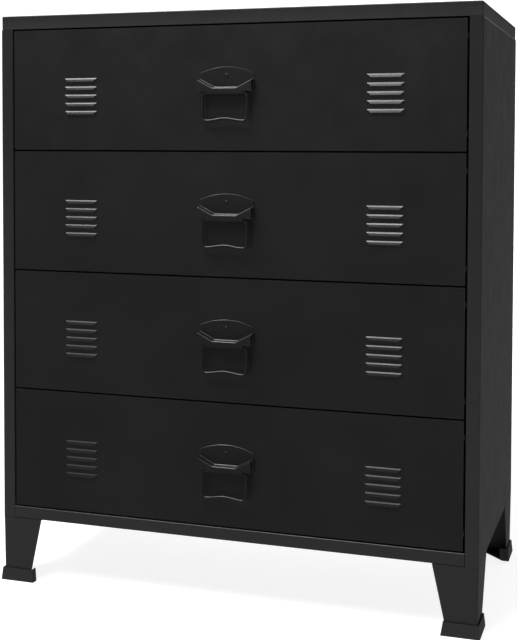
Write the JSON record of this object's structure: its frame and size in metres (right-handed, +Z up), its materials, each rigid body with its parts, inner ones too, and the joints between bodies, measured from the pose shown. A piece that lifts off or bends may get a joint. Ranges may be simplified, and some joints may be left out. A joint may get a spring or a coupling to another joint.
{
  "type": "tall chest of drawers",
  "caption": "Tall steel chest of drawers with flush louvred fronts, drop-bail pulls under small hoods, and tapered angle legs on flared shoes.",
  "frame": {"origin": "on the floor, under the middle of the whole object's box, pulls included", "axes": "+X to the right of someone facing the fronts, +Y to the back, +Z up"},
  "size_m": [0.7868, 0.4164, 0.925],
  "materials": {
    "carcass": "black powder coat, satin, fine orange peel",
    "side_panel": "black powder coat, satin, fine orange peel",
    "drawer_front": "black powder coat, satin, fine orange peel",
    "drawer_box": "black powder coat, satin",
    "leg": "black powder coat, satin",
    "shoe": "black powder coat, satin",
    "pull": "black powder coat, semi-gloss",
    "slide": "zinc-plated, dull"
  },
  "bodies": {
    "cabinet": {"top_panel": "carcass", "right_side_panel": "side_panel", "left_side_panel": "side_panel", "back_panel": "carcass", "bottom_panel": "carcass", "front_bottom_rail": "carcass", "front_right_leg": "leg", "front_right_shoe": "shoe", "front_left_leg": "leg", "front_left_shoe": "shoe", "rear_right_leg": "leg", "rear_right_shoe": "shoe", "rear_left_leg": "leg", "rear_left_shoe": "shoe", "fixed_slide_1_right": "slide", "fixed_slide_1_left": "slide", "fixed_slide_2_right": "slide", "fixed_slide_2_left": "slide", "fixed_slide_3_right": "slide", "fixed_slide_3_left": "slide", "fixed_slide_4_right": "slide", "fixed_slide_4_left": "slide"},
    "drawer_1": {"drawer_1_front": "drawer_front", "drawer_1_right_side": "drawer_box", "drawer_1_left_side": "drawer_box", "drawer_1_bottom": "drawer_box", "drawer_1_back": "drawer_box", "drawer_1_right_slide": "slide", "drawer_1_left_slide": "slide", "pull_1_bracket": "pull"},
    "bail_1": {"pull_1_bail": "pull"},
    "drawer_2": {"drawer_2_front": "drawer_front", "drawer_2_right_side": "drawer_box", "drawer_2_left_side": "drawer_box", "drawer_2_bottom": "drawer_box", "drawer_2_back": "drawer_box", "drawer_2_right_slide": "slide", "drawer_2_left_slide": "slide", "pull_2_bracket": "pull"},
    "bail_2": {"pull_2_bail": "pull"},
    "drawer_3": {"drawer_3_front": "drawer_front", "drawer_3_right_side": "drawer_box", "drawer_3_left_side": "drawer_box", "drawer_3_bottom": "drawer_box", "drawer_3_back": "drawer_box", "drawer_3_right_slide": "slide", "drawer_3_left_slide": "slide", "pull_3_bracket": "pull"},
    "bail_3": {"pull_3_bail": "pull"},
    "drawer_4": {"drawer_4_front": "drawer_front", "drawer_4_right_side": "drawer_box", "drawer_4_left_side": "drawer_box", "drawer_4_bottom": "drawer_box", "drawer_4_back": "drawer_box", "drawer_4_right_slide": "slide", "drawer_4_left_slide": "slide", "pull_4_bracket": "pull"},
    "bail_4": {"pull_4_bail": "pull"}
  },
  "joints": [
    {"name": "drawer_1_slide", "type": "slide", "parent": "cabinet", "child": "drawer_1", "axis": [0, -1, 0], "range_m": [0, 0.3]},
    {"name": "drawer_2_slide", "type": "slide", "parent": "cabinet", "child": "drawer_2", "axis": [0, -1, 0], "range_m": [0, 0.3]},
    {"name": "drawer_3_slide", "type": "slide", "parent": "cabinet", "child": "drawer_3", "axis": [0, -1, 0], "range_m": [0, 0.3]},
    {"name": "drawer_4_slide", "type": "slide", "parent": "cabinet", "child": "drawer_4", "axis": [0, -1, 0], "range_m": [0, 0.3]},
    {"name": "bail_1_swing", "type": "hinge", "parent": "drawer_1", "child": "bail_1", "pos_m": [0, -0.20465, 0.7973], "axis": [-1, 0, 0], "range_deg": [0, 90]},
    {"name": "bail_2_swing", "type": "hinge", "parent": "drawer_2", "child": "bail_2", "pos_m": [0, -0.20465, 0.60313], "axis": [-1, 0, 0], "range_deg": [0, 90]},
    {"name": "bail_3_swing", "type": "hinge", "parent": "drawer_3", "child": "bail_3", "pos_m": [0, -0.20465, 0.40895], "axis": [-1, 0, 0], "range_deg": [0, 90]},
    {"name": "bail_4_swing", "type": "hinge", "parent": "drawer_4", "child": "bail_4", "pos_m": [0, -0.20465, 0.21477], "axis": [-1, 0, 0], "range_deg": [0, 90]}
  ]
}
